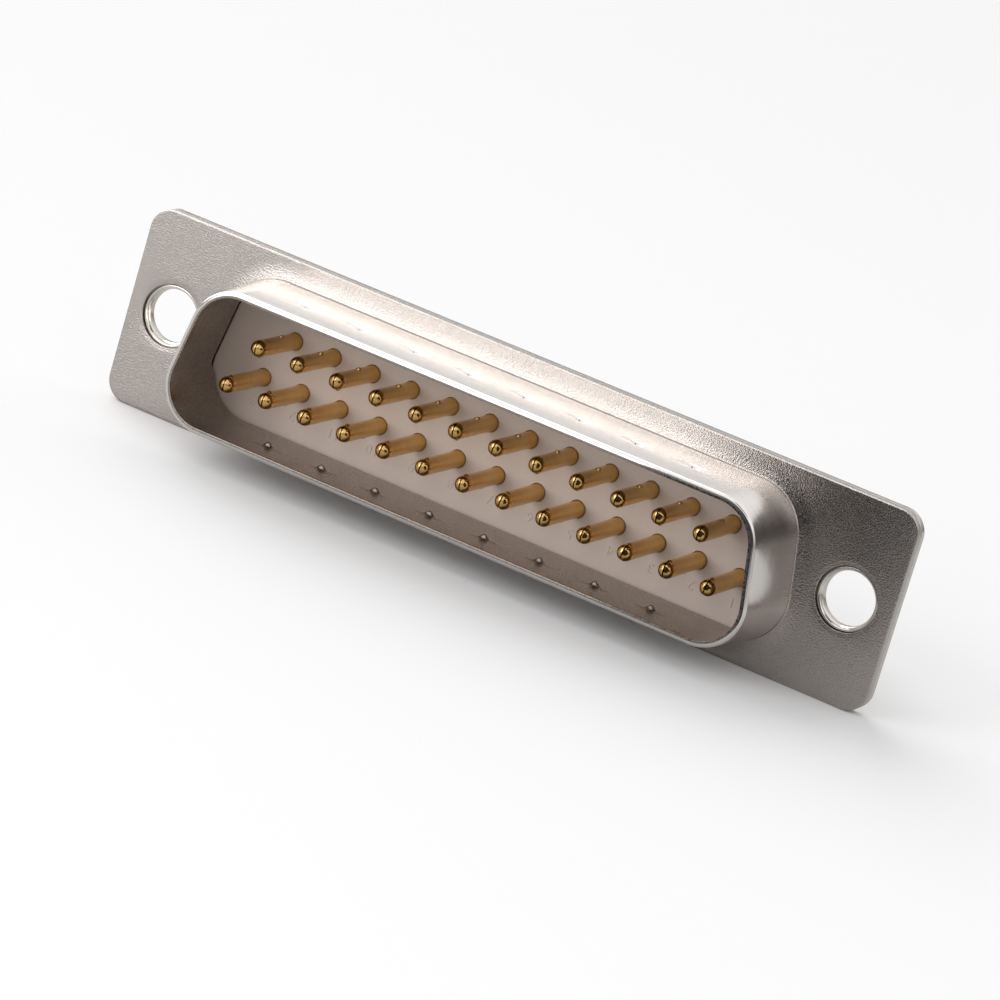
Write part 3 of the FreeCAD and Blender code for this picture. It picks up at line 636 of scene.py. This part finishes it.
def pin_surface():
    """The pin as a stack of slices across X: each slice runs along the pin's underside, round
    the dome and back along the top at that slice's half height, the root of r squared less x
    squared. Slices inside the slit sink to its floor. On top a round notch is sunk beside a
    small bead, and the slit leaves a burr below: each is a height times e to the minus fourth
    power of the distance over its radius. Behind the block's face the pin grows to its seat."""
    slit = SLIT_WIDTH / 2
    round_part = np.sin(np.linspace(FIRST_SLICE, np.pi / 2, SLICES)) * PIN_RADIUS
    right = np.concatenate([[slit, slit + SLIT_SLOPE], round_part])
    across = np.concatenate([-right[::-1], right])
    inside = np.abs(across) < slit + SLIT_SLOPE / 2
    top = np.concatenate([
        np.linspace(*BURR_ROWS), BETWEEN_ROWS, np.linspace(*MARK_ROWS),
        [BEHIND_ROW, GAUGE - SEAT_AHEAD, GAUGE + SEAT_BEHIND, BLOCK_END]])
    turn = np.linspace(-np.pi / 2, np.pi / 2, DOME_STEPS + 1)
    height = np.sqrt(np.clip(PIN_RADIUS ** 2 - across ** 2, 0, None))[:, None]
    rows = len(across)
    centre = -PIN_REACH + PIN_RADIUS
    side_y = np.tile(top, (rows, 1))
    side_z = np.tile(height, len(top))
    y = np.concatenate([side_y[:, ::-1], centre - height * np.cos(turn), side_y], 1)
    z = np.concatenate([-side_z, height * np.sin(turn), side_z], 1)
    x = np.tile(across[:, None], y.shape[1])
    floor = -PIN_REACH + SLIT_DEPTH
    y = np.where(inside[:, None] & (y < floor), floor, y)
    marks = ((1, NOTCH_BACK, NOTCH_RADIUS, -NOTCH_DEPTH), (1, BEAD_BACK, BEAD_RADIUS, BEAD_HEIGHT),
             (-1, BURR_BACK, BURR_RADIUS, BURR_HEIGHT))
    for side, place, radius, rise in marks:
        near = ((x / radius) ** 2 + ((y + place) / radius) ** 2) ** 2
        z = z + np.where(z * side > 0, side * rise * np.exp(-near), 0)
    points = np.stack([x, y, z], axis=-1)
    points[..., ::2] *= np.where(y > GAUGE, SEAT_GROWTH, 1)[..., None]
    return points.reshape(-1, 3), quads_of(*y.shape)


def turned_surface(stations, steps):
    """A surface of revolution round Y through (depth, radius) stations."""
    angles = np.linspace(0, 2 * np.pi, steps + 1)
    stations = np.asarray(stations, float)
    radius = stations[:, 1, None]
    depth = np.broadcast_to(stations[:, :1], (len(stations), steps + 1))
    points = np.stack([radius * np.cos(angles), depth, radius * np.sin(angles)], axis=-1)
    return points.reshape(-1, 3), quads_of(len(stations), steps + 1)


def cup_surface():
    """The half-round cup: its section is an outer arc and an inner arc below the cut, joined by
    two flat lips, carried along Y and closed at its open end by a strip between the arcs."""
    columns = CUP_STEPS + 1
    lean = np.arcsin(CUP_EDGE / BARREL_RADIUS)
    outer = np.linspace(np.pi - lean, 2 * np.pi + lean, columns)
    lean = np.arcsin(CUP_EDGE / CUP_BORE)
    inner = np.linspace(2 * np.pi + lean, np.pi - lean, columns)
    section = np.concatenate([
        BARREL_RADIUS * np.column_stack([np.cos(outer), np.sin(outer)]),
        CUP_BORE * np.column_stack([np.cos(inner), np.sin(inner)])])
    section = np.vstack([section, section[:1]])
    ends = np.array([cup_end - CUP_DEPTH, cup_end])
    walls = np.stack([np.tile(section[:, 0], (2, 1)), np.repeat(ends[:, None], len(section), 1),
                      np.tile(section[:, 1], (2, 1))], axis=-1)
    rim = np.stack([section[:columns], section[columns:2 * columns][::-1]])
    face = np.stack([rim[..., 0], np.full(rim.shape[:2], cup_end), rim[..., 1]], axis=-1)
    return [(walls.reshape(-1, 3), quads_of(2, len(section))),
            (face.reshape(-1, 3), quads_of(2, columns))]


# The gold's tint and gloss change a little from place to place, and it is smoother on the dome.
gold, tree, shader = new_material("gold_plate")
place = add_node(tree, "ShaderNodeTexCoord", {}).outputs["Object"]
film = noise(tree, place, 1 / (FILM_SIZE * MM), detail=3.0)
gloss = ramp(tree, film, 0.0, 1.0, GOLD_GLOSSY, GOLD_DULL)
depth = add_node(tree, "ShaderNodeSeparateXYZ", {0: place}).outputs["Y"]
shank = ramp(tree, depth, -DOME_END * MM, (DOME_BLEND - DOME_END) * MM)
feed(tree, shader, {"Metallic": 1.0,
                    "Base Color": blend(tree, film, GOLD_DARK, GOLD_LIGHT),
                    "Roughness": blend(tree, shank, DOME_ROUGHNESS, gloss, data_type="FLOAT")})

barrel_stations = [(BLOCK_END, PIN_RADIUS * SEAT_GROWTH), (BLOCK_END, BARREL_RADIUS),
                   (cup_end - CUP_DEPTH, BARREL_RADIUS), (cup_end - CUP_DEPTH, 0.0)]
contact_patches = [pin_surface(), turned_surface(barrel_stations, BARREL_STEPS), *cup_surface()]

# Each contact is turned a little in its hole, by the sine of its number times TURN_STEP, and the
# wide row's contacts have their cups the other way up.
number = 0
for count, row_sign in ((WIDE_ROW, -1), (NARROW_ROW, 1)):
    for index in range(count):
        number += 1
        turn = radians(SEAT_TURN * np.sin(TURN_STEP * number) + (180 if row_sign < 0 else 0))
        across = ((count - 1) / 2 - index) * PITCH
        up = row_sign * ROW_SPACING / 2
        placed = []
        for points, faces in contact_patches:
            x, y, z = points.T
            moved = np.column_stack([across + x * np.cos(turn) + z * np.sin(turn), y,
                                     up - x * np.sin(turn) + z * np.cos(turn)])
            placed.append((moved, faces))
        name = "contact_%02d" % number
        make_piece("gold_" + name, placed, [gold], name)
